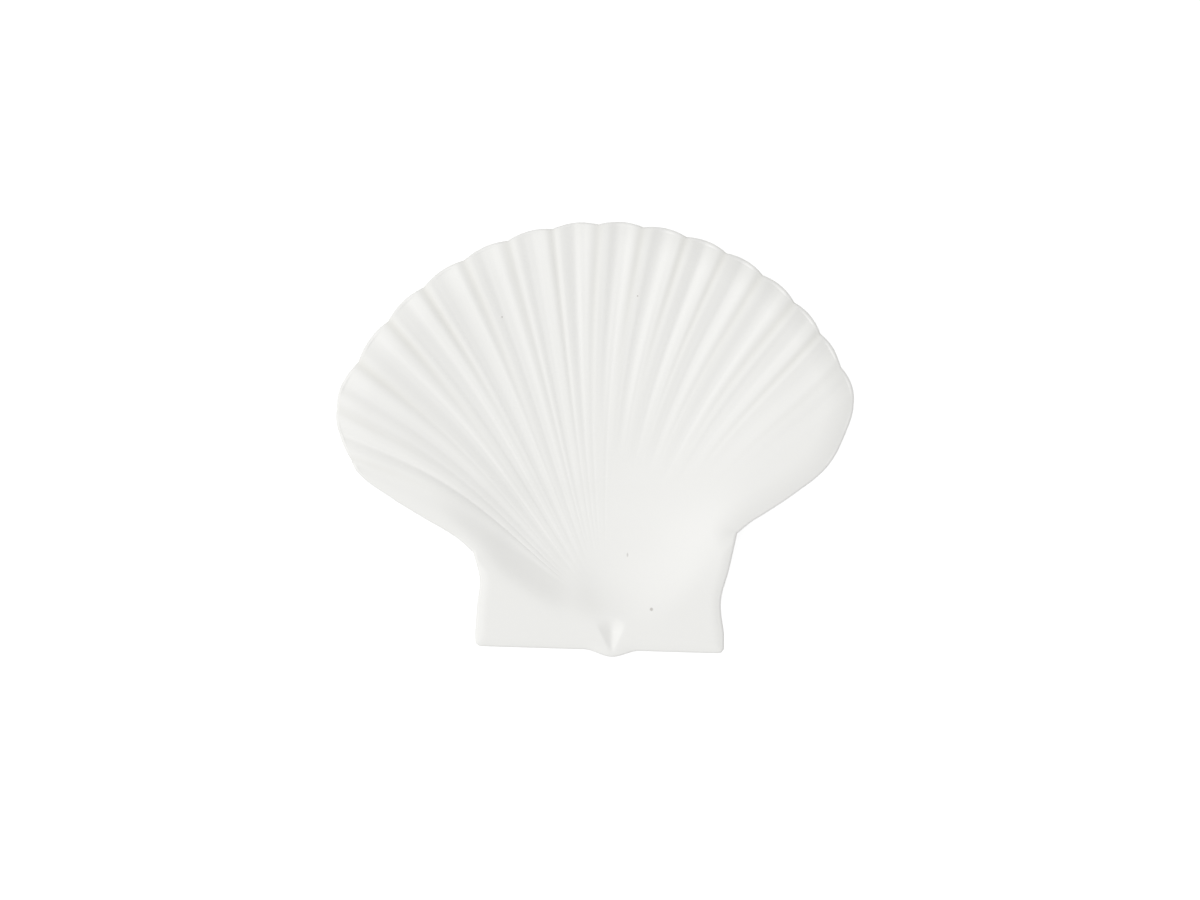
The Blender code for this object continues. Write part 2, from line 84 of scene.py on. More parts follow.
# %% Sizes of the outline
FAN_HALF_WIDTH = 0.1712
FAN_HALF_DEPTH = 0.1611
FAN_CENTRE = np.array([-0.0011, -0.0275])
FAN_TURN = math.radians(20.2)
FAN_ARC_FROM = math.radians(-2.0)
FAN_ARC_TO = math.radians(141.0)
FAN_ARC_POINTS = 16
LEFT_LOBE = [(-0.1572, 0.0000), (-0.1476, -0.0204), (-0.1262, -0.0368), (-0.1069, -0.0487),
             (-0.0860, -0.0612)]
RIGHT_LOBE = [(0.1558, 0.0028), (0.1442, -0.0178), (0.1240, -0.0343), (0.1058, -0.0464), (0.0975, -0.0515)]
RIM_LOBE_POINTS = 1
LEFT_NECK = (-0.0755, -0.0705)
RIGHT_NECK = (0.0887, -0.0587)
LEFT_EAR_SIDE = [(-0.0714, -0.0870), (-0.0730, -0.1030), (-0.0743, -0.1200)]
RIGHT_EAR_SIDE = [(0.0836, -0.0810), (0.0785, -0.1010), (0.0806, -0.1220)]
EAR_CORNER_RADIUS = 0.0035
HINGE_Y = -0.1312
HINGE_FALL = -0.030
BEAK_X = 0.0105
BEAK_BUMP = 0.0042
BEAK_BUMP_HALF_WIDTH = 0.0175
EDGE_ROUND = 0.0019
print("fan before its lobes, mm:", round(2000 * FAN_HALF_WIDTH), "by", round(2000 * FAN_HALF_DEPTH))

# %% Draw the fan's line and the line round the ears
CURVE_STEPS = 16
EAR_CORNER_POINTS = 9
HINGE_POINTS = 121


def smooth_line(points):
    """A curve through the points, in cubic stretches whose handles follow the neighbours."""
    knots = [Vector((x, y, 0.0)) for x, y in points]
    last = len(knots) - 1
    slopes = [(knots[min(k + 1, last)] - knots[max(k - 1, 0)]).normalized() for k in range(last + 1)]
    line = [knots[0]]
    for k in range(last):
        handle = (knots[k + 1] - knots[k]).length / 3
        line += interpolate_bezier(knots[k], knots[k] + slopes[k] * handle,
                                   knots[k + 1] - slopes[k + 1] * handle, knots[k + 1], CURVE_STEPS)[1:]
    return np.array([(p.x, p.y) for p in line])


def fan_arc(angle):
    """A point of the turned oval."""
    x, y = FAN_HALF_WIDTH * math.cos(angle), FAN_HALF_DEPTH * math.sin(angle)
    return FAN_CENTRE + (x * math.cos(FAN_TURN) - y * math.sin(FAN_TURN),
                         x * math.sin(FAN_TURN) + y * math.cos(FAN_TURN))


def hinge_y(x):
    """The hinge line, with the beak's bump standing out of it."""
    away = min(abs(x - BEAK_X) / BEAK_BUMP_HALF_WIDTH, 1.0)
    return HINGE_Y + HINGE_FALL * (x - BEAK_X) - BEAK_BUMP * (1 + math.cos(math.pi * away)) / 2


def ear_corner(x, side):
    """A quarter round between an ear's side and the hinge line, met on the ear's side first."""
    centre_x = x + side * EAR_CORNER_RADIUS
    centre_y = hinge_y(centre_x) + EAR_CORNER_RADIUS
    return [(centre_x - side * EAR_CORNER_RADIUS * math.cos(a), centre_y - EAR_CORNER_RADIUS * math.sin(a))
            for a in np.linspace(0, math.pi / 2, EAR_CORNER_POINTS)]


arc = [tuple(fan_arc(a)) for a in np.linspace(FAN_ARC_FROM, FAN_ARC_TO, FAN_ARC_POINTS)]
fan_line = smooth_line([RIGHT_NECK] + RIGHT_LOBE[::-1] + arc + LEFT_LOBE + [LEFT_NECK])
curve_step = CURVE_STEPS - 1
right_corner = curve_step * (len(RIGHT_LOBE) - RIM_LOBE_POINTS)
left_corner = curve_step * (1 + len(RIGHT_LOBE) + len(arc) + RIM_LOBE_POINTS)
left_ear = ear_corner(LEFT_EAR_SIDE[-1][0], 1)
right_ear = ear_corner(RIGHT_EAR_SIDE[-1][0], -1)
hinge = [(x, hinge_y(x)) for x in np.linspace(left_ear[-1][0], right_ear[-1][0], HINGE_POINTS)[1:-1]]
back_line = np.array([*smooth_line([LEFT_NECK] + LEFT_EAR_SIDE)[:-1], *left_ear, *hinge, *right_ear[::-1],
                      *smooth_line([RIGHT_NECK] + RIGHT_EAR_SIDE)[:-1][::-1]])
print("points on the fan and on the ears:", len(fan_line), len(back_line))

# %% [markdown]
# The rim is rounded over its thickness, so the flat part of the wall's face stops a little inside the
# outline. Both lines are moved in by the round's radius before the net is laid. The part of the fan between
# the two lobes is the rim, where the flutes end. The rest of the fan's line, at each side, is a plain flank.

# %% Move the lines in by the edge's radius
def ring_normals(ring):
    """Outward normals of a closed ring of points that runs counter-clockwise."""
    runs = np.roll(ring, -1, axis=0) - ring
    runs = runs / np.linalg.norm(runs, axis=1)[:, None]
    turned = runs + np.roll(runs, 1, axis=0)
    turned = turned / np.linalg.norm(turned, axis=1)[:, None]
    return np.column_stack([turned[:, 1], -turned[:, 0]])


def along(line):
    """How far each point of a line is from its first."""
    return np.concatenate([[0.0], np.cumsum(np.linalg.norm(np.diff(line, axis=0), axis=1))])


def at_length(line, distance):
    """The points that lie at these distances along a line."""
    length = along(line)
    return np.column_stack([np.interp(distance, length, line[:, k]) for k in (0, 1)])


ring = np.vstack([fan_line, back_line[1:-1]])
ring = ring - EDGE_ROUND * ring_normals(ring)
fan_line, back_line = ring[:len(fan_line)], np.vstack([ring[len(fan_line) - 1:], ring[:1]])
rim_line = fan_line[right_corner:left_corner + 1][::-1]
right_flank = fan_line[:right_corner + 1]
left_flank = fan_line[left_corner:][::-1]
rim_length = along(rim_line)[-1]
print("rim length, mm:", round(1000 * rim_length))

# %% [markdown]
# ## Net
#
# A scallop's ribs all start at the beak and spread to the rim. A net whose columns follow the ribs carries
# them best: a crease then runs along the columns from end to end, and hardly cuts across faces. The net is
# made flat, as a grid that counts columns and rows, and is then bent by moving each of its points. The rib
# number says where a column stands: a whole number is about a crease, a half about the middle of a valley.

# %% Number the ribs along the rim
FIRST_RIB_FROM_CORNER = 0.009
RIB_PITCH = 0.0325
RIB_PITCH_LOSS = 0.00054
COLUMNS_PER_RIB = 18
LEFT_STRIP_COLUMNS = 16
LEAST_COLUMN_GAP = 0.3


def rib_place(rib):
    """How far along the rim a rib stands, from the left lobe's corner."""
    return FIRST_RIB_FROM_CORNER + RIB_PITCH * rib - RIB_PITCH_LOSS * rib * rib / 2


def rib_at(distance):
    """The rib number at a distance along the rim."""
    reach = RIB_PITCH ** 2 - 2 * RIB_PITCH_LOSS * (distance - FIRST_RIB_FROM_CORNER)
    return (RIB_PITCH - math.sqrt(reach)) / RIB_PITCH_LOSS


left_rib, right_rib = rib_at(0.0), rib_at(rim_length)
last = math.floor(right_rib * COLUMNS_PER_RIB - LEAST_COLUMN_GAP)
rib_numbers = np.array([right_rib, *(np.arange(last, 0, -1) / COLUMNS_PER_RIB),
                        *np.linspace(0, left_rib, LEFT_STRIP_COLUMNS + 1)])
print("ribs run from", round(left_rib, 2), "to", round(right_rib, 2))

# %% [markdown]
# A rib's line starts as a straight ray from an apex to the rib's place on the rim. On the right the inner
# parts of the rays swing wider, and near the beak all rays are pulled to one point, as on the real form. Each
# rib could be drawn as a curve of its own, but one rule for all keeps neighbours from crossing.

# %% Say how the ribs run
RIB_APEX = np.array([-0.0062, -0.0615])
RIB_AXIS = math.radians(92.0)
RIGHT_RIB_SPREAD = 0.145
RIB_SPREAD_SPAN = math.radians(50.0)
CALM_RIBS = 3.0
COURSE_POLE = np.array([0.0018, -0.1050])
POLE_ASIDE = np.array([0.0080, 0.0])
POLE_ASIDE_POWER = 8
NET_POLE = COURSE_POLE + POLE_ASIDE
POLE_PULL_START = 1.6
POLE_PULL_POWER = 4.5


def smooth_step(share):
    """Eases a share from 0 to 1, level at both ends."""
    share = np.clip(share, 0, 1)
    return share * share * (3 - 2 * share)


def free_rib(rib, out):
    """A point of a rib's line. On the right the lines swing wider, save for the last few ribs."""
    away = at_length(rim_line, rib_place(rib)) - RIB_APEX
    swing = np.arctan2(away[:, 1], away[:, 0]) - RIB_AXIS
    calm = smooth_step((right_rib - rib) / CALM_RIBS)
    spread = 1 + RIGHT_RIB_SPREAD * calm * (1 - out) * (np.minimum(swing, 0) / RIB_SPREAD_SPAN) ** 2
    angle = RIB_AXIS + swing * spread
    reach = np.linalg.norm(away, axis=1) * out
    pull = (1 - out ** POLE_PULL_START) ** POLE_PULL_POWER
    aside = (1 - out) ** POLE_ASIDE_POWER
    return (RIB_APEX + np.column_stack([reach * np.cos(angle), reach * np.sin(angle)])
            + aside[:, None] * POLE_ASIDE + pull[:, None] * (COURSE_POLE - RIB_APEX))


print("the ribs' courses meet at, mm:", [round(1000 * side, 1) for side in COURSE_POLE])

# %% [markdown]
# The net also has to cover the lobes' undersides and the ears, where no ribs run. On the ears its columns run
# straight from the pole to the edge. Near a flank the ribs' columns are drawn onto the flank's line little by
# little, so that the two kinds of column meet without a jump.

# %% Say where a column and a row lie on the platter
BACK_SPACING = 0.0015
NECK_OUT = 0.50
INNER_CROWDING = 1.3
OUTER_CROWDING = 1.5
RIGHT_FLANK_PULL = 2.4
LEFT_FLANK_PULL = 0.35
OUTER_ROWS = 60
fan_columns = len(rib_numbers) - 1
back_columns = round(along(back_line)[-1] / BACK_SPACING)


def out_share(row, inner_rows):
    """0 at the pole, 1 at the rim. Rows are even up to the neck and crowd toward the rim beyond it."""
    beyond = np.clip((row - inner_rows) / OUTER_ROWS, 0, 1)
    return NECK_OUT * np.minimum(row / inner_rows, 1) + (1 - NECK_OUT) * (1 - (1 - beyond) ** OUTER_CROWDING)


def inner_point(end, out):
    """On the straight line from the pole to a point of the neck or of the ears."""
    share = 1 - (1 - np.clip(out / NECK_OUT, 0, 1)) ** INNER_CROWDING
    return NET_POLE + (end - NET_POLE) * share[:, None]


def flank_point(flank, out):
    """From the pole straight to the neck, then along the lobe's underside."""
    beyond = np.clip((out - NECK_OUT) / (1 - NECK_OUT), 0, 1)
    outer = at_length(flank, beyond * along(flank)[-1])
    return np.where((out <= NECK_OUT)[:, None], inner_point(flank[0], out), outer)


def fan_point(rib, out):
    """A rib's point, drawn onto the flank's line where the rib is near a flank."""
    place = free_rib(rib, out)
    for flank, edge, reach in ((right_flank, right_rib, RIGHT_FLANK_PULL),
                               (left_flank, left_rib, LEFT_FLANK_PULL)):
        pull = np.clip(1 - np.abs(rib - edge) / reach, 0, 1) ** 2
        place = place + pull[:, None] * (flank_point(flank, out) - free_rib(np.full(len(out), edge), out))
    return place


def back_point(column, out):
    """From the pole straight to a point of the ears' line."""
    distance = along(back_line)[-1] * (column - fan_columns) / back_columns
    return inner_point(at_length(back_line, distance), out)


print("columns over the fan and round the ears:", fan_columns, back_columns)

# %% [markdown]
# ## Heights
#
# The upper face is level at the brim, sinks into one shallow hollow that is deepest just in front of the
# ears, and turns down a little toward its edge. Between the ears the hollow ends at a steeper step. At the
# beak a small V shaped groove runs out toward the hinge line.

# %% Sizes of the hollow, the brim and the beak's groove
RIM_HEIGHT = 0.0215
HOLLOW_DEPTH = 0.01217
HOLLOW_LOW_POINT = np.array([-0.0134, -0.0400])
HOLLOW_TIP = 0.376
FRONT_POWER = 1.02
LEFT_BACK_POWER = 5.06
RIGHT_BACK_POWER = 4.24
SIDE_BLEND_WIDTH = 0.100
FRONT_SOFTNESS = 0.059
BACK_SOFTNESS = 0.290
BACK_FROM = 0.0178
BACK_SPAN = 0.0460
HOLLOW_MARGIN = 0.0050
STEP_LOW_POINT = (0.0142, -0.1124)
LEFT_STEP_RISE = 5.88
RIGHT_STEP_RISE = 11.59
LEFT_BRIM = (0.0188, 0.0018)
RIGHT_BRIM = (0.0153, 0.0026)
BRIM_BLEND_WIDTH = 0.160
EAR_BRIM_WIDTH = 0.0050
EAR_BRIM_DROP = 0.0007
GROOVE_TIP_Y = -0.1294
GROOVE_TIP_DEPTH = 0.0008
GROOVE_FLOOR_SLOPE = 0.16
GROOVE_SIDE_SLOPE = 0.42
GROOVE_FLOOR_ROUND = 0.0005
GROOVE_WIDENING = 0.15
GROOVE_LENGTH = 0.030
GROOVE_BLEND = 0.0004
GROOVE_END_Y = -0.1080
GROOVE_FADE = 0.0120
REACH_DIRECTIONS = 720
REACH_SMOOTHING = 24
NEARLY_NOTHING = 1e-9
print("hollow below the brim, mm:", round(1000 * HOLLOW_DEPTH, 1))

# %% [markdown]
# The hollow has no simple outline, so it is measured from its low point: in each direction it reaches up to
# the fan's brim or to the step before the ears, and the height follows from the share of that reach. A hollow
# could be sculpted too, but this one follows the outline whenever a size is changed.

# %% Work out how far the hollow reaches in each direction
def step_distance(turns):
    """How far the hollow's low point is from the step before the ears, a parabola in plan."""
    run, climb = np.cos(turns), np.sin(turns)
    rise = np.where(run < 0, LEFT_STEP_RISE, RIGHT_STEP_RISE)
    aside = HOLLOW_LOW_POINT[0] - STEP_LOW_POINT[0]
    square = rise * run ** 2
    linear = 2 * rise * run * aside - climb
    fixed = rise * aside ** 2 + STEP_LOW_POINT[1] - HOLLOW_LOW_POINT[1]
    return -2 * fixed / np.maximum(linear + np.sqrt(linear ** 2 - 4 * square * fixed), NEARLY_NOTHING)


def hollow_reach():
    """From the low point to the fan's brim, or to the step, smoothed all round."""
    turns = np.linspace(-math.pi, math.pi, REACH_DIRECTIONS + 1)
    line = fan_line - HOLLOW_LOW_POINT
    angles = np.unwrap(np.arctan2(line[:, 1], line[:, 0]))
    radii = np.linalg.norm(line, axis=1) - HOLLOW_MARGIN
    reach = step_distance(turns)
    for whole in (turns, turns + 2 * math.pi):
        seen = (whole >= angles.min()) & (whole <= angles.max())
        reach[seen] = np.minimum(reach[seen], np.interp(whole[seen], angles, radii))
    kernel = np.hanning(2 * REACH_SMOOTHING + 1)
    wrapped = np.concatenate([reach[:-1][-REACH_SMOOTHING:], reach[:-1], reach[:REACH_SMOOTHING]])
    soft = np.convolve(wrapped, kernel / kernel.sum(), mode="valid")
    return turns, np.append(soft, soft[0])


hollow_turns, hollow_radii = hollow_reach()
print("hollow reaches, mm:", round(1000 * hollow_radii.min()), "to", round(1000 * hollow_radii.max()))

# %% Give the height of the upper face without its flutes
POINTS_AT_A_TIME = 4000


def distance_to(line, points):
    """How far each point is from a line, taken a few thousand points at a time to spare memory."""
    starts, runs = line[:-1], np.diff(line, axis=0)
    found = []
    for part in np.array_split(points, max(1, len(points) // POINTS_AT_A_TIME)):
        offsets = part[:, None, :] - starts[None, :, :]
        share = np.clip((offsets * runs).sum(2) / (runs ** 2).sum(1), 0, 1)
        found.append(np.linalg.norm(offsets - share[:, :, None] * runs, axis=2).min(1))
    return np.concatenate(found)


def soft_max(a, b, softness):
    """The greater of two heights, with a rounded turn from one to the other."""
    return (a + b + np.sqrt((a - b) ** 2 + softness ** 2)) / 2


def brim_fall(points):
    """How far the face turns down toward its edge, more on the fan's right than on its left."""
    right = smooth_step(points[:, 0] / BRIM_BLEND_WIDTH + 0.5)
    width = LEFT_BRIM[0] + (RIGHT_BRIM[0] - LEFT_BRIM[0]) * right
    drop = LEFT_BRIM[1] + (RIGHT_BRIM[1] - LEFT_BRIM[1]) * right
    fan_fall = drop * np.clip(1 - distance_to(fan_line, points) / width, 0, 1) ** 2
    ear_fall = EAR_BRIM_DROP * np.clip(1 - distance_to(back_line, points) / EAR_BRIM_WIDTH, 0, 1) ** 2
    return np.maximum(fan_fall, ear_fall)


def base_height(points):
    """Brim level, less the hollow, the beak's groove and the brim's fall toward the edge."""
    away = points - HOLLOW_LOW_POINT
    reach = np.interp(np.arctan2(away[:, 1], away[:, 0]), hollow_turns, hollow_radii)
    back = smooth_step((BACK_FROM - away[:, 1]) / BACK_SPAN)
    right = smooth_step(away[:, 0] / SIDE_BLEND_WIDTH + 0.5)
    back_power = LEFT_BACK_POWER + (RIGHT_BACK_POWER - LEFT_BACK_POWER) * right
    power = FRONT_POWER + (back_power - FRONT_POWER) * back
    softness = FRONT_SOFTNESS + (BACK_SOFTNESS - FRONT_SOFTNESS) * back
    share = np.hypot(np.linalg.norm(away, axis=1) / reach, HOLLOW_TIP)
    hollow = HOLLOW_DEPTH * softness * np.logaddexp(0, (1 - share ** power) / softness)
    from_tip = points[:, 1] - GROOVE_TIP_Y
    floor_round = GROOVE_FLOOR_ROUND + GROOVE_WIDENING * np.clip(from_tip, 0, GROOVE_LENGTH)
    groove = (GROOVE_TIP_DEPTH + GROOVE_FLOOR_SLOPE * from_tip
              - GROOVE_SIDE_SLOPE * (np.hypot(points[:, 0] - BEAK_X, floor_round) - floor_round))
    groove = np.clip(groove, 0, HOLLOW_DEPTH) * np.clip((GROOVE_END_Y - points[:, 1]) / GROOVE_FADE, 0, 1)
    return RIM_HEIGHT - soft_max(hollow, groove, GROOVE_BLEND) - brim_fall(points)


print("lowest point of the hollow, mm:", round(1000 * base_height(HOLLOW_LOW_POINT[None, :])[0], 1))

# %% [markdown]
# ## Flutes
#
# The ridges stand in close pairs. Inside a pair lies a broad round valley, and between two pairs a thin
# crease. The relief grows from nothing to its full depth just before the rim. It begins much further in on
# the left, and it fades toward the right lobe, where the clay was smoothed. Its depth changes from rib to
# rib, so it is given for a few ribs, as pairs of a rib's number and a value, and taken evenly between them.
#
# A form worked by hand is never quite even. The ribs waver a little, shallow ripples lie between them, and
# a few single lines run on nearly to the beak. At the rim each pair of ridges pushes the edge outward a
# little, and two neighbours meet in a notch.

# %% Shape the flutes
VALLEY_DEPTH = [(0, 0.0015), (2, 0.0014), (3, 0.0014), (6, 0.0012), (7, 0.0012), (9, 0.0019), (11, 0.0019),
                (13, 0.0015), (15, 0.0006), (16, 0)]
VALLEY_START = [(0, 0.28), (2, 0.08), (5, 0.10), (6.5, 0.15), (8, 0.45), (9, 0.35), (13, 0.34), (15, 0.50)]
VALLEY_FULL = 0.94
DEEP_VALLEY = 0.0016
VALLEY_MIDDLE = 0.48
VALLEY_SHARPNESS = 1.8
CREASE_DEPTH = [(0, 0.0006), (1, 0.0004), (2, 0.0009), (4, 0.0009), (6, 0.0005), (8, 0.0006), (10, 0.0008),
                (14, 0.0007), (15, 0.0002), (16, 0)]
CREASE_START = [(4, 0.52), (7, 0.35), (9, 0.50), (14, 0.45)]
CREASE_FULL = 0.90
GROWTH_POWER = 1.1
CREASE_MIDDLE = -0.015
CREASE_WIDTH = 0.10
RIDGE_LEVEL = 0.0003
WAVER = 0.025
WAVER_ALONG = 7.0
WAVER_ACROSS = 2.4
WAVER_SWELL = 1.3
WAVER_TURN = 0.7
FINE_RIPPLES = [(2.9, 0.3, 0.00007), (4.3, 1.9, 0.00005), (6.1, 4.0, 0.00003)]
RIPPLE_TURN = 2.0
RIPPLED_VALLEY = 0.0010
LONG_LINES = [(-0.1, 0.00070), (0.45, 0.00055), (1.1, 0.00060), (6.05, 0.00030), (7.0, 0.00025),
              (7.45, 0.00022), (7.9, 0.00022), (8.7, 0.00020)]
LONG_LINE_WIDTH = 0.09
LONG_LINE_FROM = 0.12
LONG_LINE_FADE = 0.10
LONG_LINE_FULL = 0.7
RIM_LOBE = 0.0020
RIM_LOBE_POWER = 16
RIM_LOBE_SHARE = [(14.5, 1.0), (15.5, 0.45), (16.5, 0.10)]
UNDER_SHARE = 0.4
FLANK_FADE = 0.4
WALL = 0.0050


def by_rib(pairs, rib):
    """A value that changes evenly from rib to rib between the ones that are listed."""
    return np.interp(rib, [number for number, _ in pairs], [value for _, value in pairs])


def grown(start, full, out):
    """0 up to the start and 1 from the full relief on."""
    return np.clip((out - start) / (full - start), 0, 1) ** GROWTH_POWER


def flank_share(rib):
    """1 over the fan, and down to 0 at its two flanks."""
    return np.clip(np.minimum(rib - left_rib, right_rib - rib) / FLANK_FADE, 0, 1)


def crease(rib):
    """1 on a crease and 0 away from it."""
    return np.exp(-(((rib - CREASE_MIDDLE + 0.5) % 1 - 0.5) / CREASE_WIDTH) ** 2)


def crease_depth(rib, out):
    """How deep a crease would be here."""
    return flank_share(rib) * by_rib(CREASE_DEPTH, rib) * grown(by_rib(CREASE_START, rib), CREASE_FULL, out)


def valley_depth(rib, out):
    """How deep a valley's middle would be here."""
    return flank_share(rib) * by_rib(VALLEY_DEPTH, rib) * grown(by_rib(VALLEY_START, rib), VALLEY_FULL, out)


def wavered(rib, out):
    """The rib number, a little off as in a form that was worked by hand."""
    swell = np.sin(WAVER_SWELL * rib + WAVER_TURN)
    return rib + WAVER * np.sin(WAVER_ALONG * out + WAVER_ACROSS * rib) * swell


def fine_ripples(rib, out):
    """Shallow waves between the flutes, each at its own pitch and turned a little against the others."""
    ripples = sum(height * np.sin(2 * np.pi * pitch * rib + turn + RIPPLE_TURN * out)
                  for pitch, turn, height in FINE_RIPPLES)
    return ripples * np.clip(valley_depth(rib, out) / RIPPLED_VALLEY, 0, 1)


def long_lines(rib, out):
    """Single thin lines that run on inward past the flutes nearly to the beak, and keep their slope there."""
    lines = sum(depth * np.exp(-((rib - number) / LONG_LINE_WIDTH) ** 2) for number, depth in LONG_LINES)
    begun = np.clip((out - LONG_LINE_FROM) / LONG_LINE_FADE, 0, 1)
    return lines * begun * np.clip(out / LONG_LINE_FULL, 0, 1)


def upper_flutes(rib, out):
    """How far the flutes shift the upper face, mostly downward."""
    lowered, at = valley_depth(rib, out), wavered(rib, out)
    valley = ((1 + np.cos(2 * np.pi * (at - VALLEY_MIDDLE))) / 2) ** VALLEY_SHARPNESS
    ridge = RIDGE_LEVEL * lowered / DEEP_VALLEY
    lines = crease_depth(rib, out) * crease(at) + long_lines(rib, out)
    return ridge - lowered * valley - lines + fine_ripples(rib, out)


def rim_lobe(rib, out):
    """How far a lobe of the rim stands out. On the right lobe the rim was smoothed."""
    lobe = RIM_LOBE * by_rib(RIM_LOBE_SHARE, rib)
    return lobe * (np.abs(np.sin(np.pi * rib)) - 2 / np.pi) * out ** RIM_LOBE_POWER


rim_flutes = upper_flutes(rib_numbers, np.ones(len(rib_numbers)))
print("deepest flute at the rim, mm:", round(-1000 * rim_flutes.min(), 1))

# %% [markdown]
# ## The wall
#
# The wall is two skins, an upper and an under one, each bent from its own net. Each skin's boundary is
# rolled through a quarter round, and the two rounds are bridged, which closes the wall all the way round.
# A Solidify modifier would be shorter, but its edge would be square, and the flutes would come out as deep
# below as above, while a cast wall evens them out.

# %% Lay the flat net
def flat_net(inner_rows):
    """A grid whose x counts columns and whose y counts rows, without the rows that the ears don't have."""
    net = bmesh.new()
    columns, rows = fan_columns + back_columns, inner_rows + OUTER_ROWS
    bmesh.ops.create_grid(net, x_segments=columns, y_segments=rows, size=0.5)
    bmesh.ops.translate(net, verts=net.verts, vec=(0.5, 0.5, 0))
    bmesh.ops.scale(net, verts=net.verts, vec=(columns, rows, 1))
    beyond = []
    for face in net.faces:
        middle = face.calc_center_median()
        if middle.x > fan_columns and middle.y > inner_rows:
            beyond.append(face)
    bmesh.ops.delete(net, geom=beyond, context="FACES")
    return net


# %% [markdown]
# Bending takes one move for each point of the net: its column and row give its place in plan, and the place
# gives its height. The points are worked out together as arrays, which is much quicker than one by one.

# %% Bend a net into one skin of the wall
CORE_OUT = 0.10
# The crease depth at which a crease gets its full painted shade.
CREASE_SHADE_DEPTH = 0.001
SAME_PLACE = 1e-6


def bend(net, inner_rows, upper):
    """Moves the net's points to their places, and keeps on each how much painted shade it gets, which is
    darker in the creases.

    Within the core round the pole every line runs straight to the pole, so that the net doesn't fold there.
    """
    flat = np.round(np.array([v.co for v in net.verts]))
    column, out = flat[:, 0], out_share(flat[:, 1], inner_rows)
    on_fan = column <= fan_columns
    rib = np.interp(column, np.arange(fan_columns + 1), rib_numbers)
    course = np.maximum(out, CORE_OUT)
    on_back = back_point(np.maximum(column, fan_columns), course)
    place = np.where(on_fan[:, None], fan_point(rib, course), on_back)
    place = NET_POLE + (place - NET_POLE) * (out / course)[:, None]
    outward = place - RIB_APEX
    outward = outward / np.maximum(np.linalg.norm(outward, axis=1), NEARLY_NOTHING)[:, None]
    lobe = np.where(on_fan, rim_lobe(rib, out), 0.0)
    place = place + lobe[:, None] * outward
    lift = np.where(on_fan, upper_flutes(rib, out), 0.0) * (1 if upper else UNDER_SHARE)
    level = base_height(place) + lift - (0 if upper else WALL)
    # Painted shade: each crease is marked to be coloured darker, the more so the deeper it is.
    shade_in_crease = crease_depth(rib, out) / CREASE_SHADE_DEPTH * crease(wavered(rib, out))
    painted_shade = np.where(on_fan, shade_in_crease, 0.0) * upper
    painted_crease_shade = net.verts.layers.float.new("painted_crease_shade")
    for vert, (x, y), z, pool in zip(net.verts, place, level, painted_shade):
        vert.co = (x, y, z)
        vert[painted_crease_shade] = pool
    bmesh.ops.remove_doubles(net, verts=net.verts, dist=SAME_PLACE)


# %% [markdown]
# A glazed rim is never sharp, because the clay is sponged round before it is fired. A Bevel modifier could
# round it too, but rings that are rolled out from the boundary keep the net's columns, so that the scallops
# stay clean.

# %% Round a skin's edge and join the two skins
EDGE_STEPS = 5
UPPER_INNER_ROWS = 48
UNDER_INNER_ROWS = 14


def boundary_ring(net):
    """The boundary's points in order, counter-clockwise seen from above."""
    left = {e for e in net.edges if e.is_boundary}
    edge = next(iter(left))
    ring = [edge.verts[0]]
    while True:
        edge = next((e for e in ring[-1].link_edges if e in left), None)
        if edge is None:
            break
        left.remove(edge)
        ring.append(edge.other_vert(ring[-1]))
    ring.pop()
    plan = np.array([v.co.xy for v in ring])
    turned = np.roll(plan, -1, axis=0)
    area = (plan[:, 0] * turned[:, 1] - plan[:, 1] * turned[:, 0]).sum()
    return ring if area > 0 else ring[::-1]


def round_edge(net, upward):
    """Rolls the boundary outward through a quarter round, down from the upper face or up from the under."""
    ring = boundary_ring(net)
    start = np.array([v.co for v in ring])
    normals = ring_normals(start[:, :2])
    places = {v: k for k, v in enumerate(ring)}
    for step in range(1, EDGE_STEPS + 1):
        angle = math.pi / 2 * step / EDGE_STEPS
        drop = EDGE_ROUND * (1 - math.cos(angle)) * (1 if upward else -1)
        edges = [e for e in net.edges if e.is_boundary]
        made = bmesh.ops.extrude_edge_only(net, edges=edges)["geom"]
        moved = {}
        for vert in [g for g in made if isinstance(g, bmesh.types.BMVert)]:
            k = next(places[e.other_vert(vert)] for e in vert.link_edges if e.other_vert(vert) in places)
            out = start[k, :2] + normals[k] * EDGE_ROUND * math.sin(angle)
            vert.co = (out[0], out[1], start[k, 2] + drop)
            moved[vert] = k
        places = moved


def skin(inner_rows, upper):
    """One face of the wall with its half of the rounded edge, as a mesh."""
    net = flat_net(inner_rows)
    bend(net, inner_rows, upper)
    round_edge(net, not upper)
    mesh = bpy.data.meshes.new("skin")
    net.to_mesh(mesh)
    net.free()
    return mesh


wall = bmesh.new()
for inner_rows, upper in ((UPPER_INNER_ROWS, True), (UNDER_INNER_ROWS, False)):
    half = skin(inner_rows, upper)
    wall.from_mesh(half)
    bpy.data.meshes.remove(half)
bmesh.ops.bridge_loops(wall, edges=[e for e in wall.edges if e.is_boundary])
bmesh.ops.recalc_face_normals(wall, faces=wall.faces)
print("faces in the wall:", len(wall.faces), "open edges:", sum(e.is_boundary for e in wall.edges))

# %% [markdown]
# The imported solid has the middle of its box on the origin. The wall is moved the same way, so that it lies
# where the solid does. It is also drawn in by a thousandth, so that its rim stays inside the solid's box.

# %% Place the wall on the solid and make it an object
WITHIN_SOLID = 0.9990
BOX_MIDDLE = (0.000283, -0.000095)
bmesh.ops.translate(wall, verts=wall.verts, vec=(-BOX_MIDDLE[0], -BOX_MIDDLE[1], 0))
bmesh.ops.scale(wall, verts=wall.verts, vec=(WITHIN_SOLID, WITHIN_SOLID, 1))
shell_mesh = bpy.data.meshes.new("fluted_shell")
wall.to_mesh(shell_mesh)
wall.free()
shell_mesh.shade_smooth()
shell = bpy.data.objects.new("fluted_shell", shell_mesh)
bpy.context.scene.collection.objects.link(shell)
print("wall's box, mm:", [round(1000 * side, 1) for side in shell.dimensions])

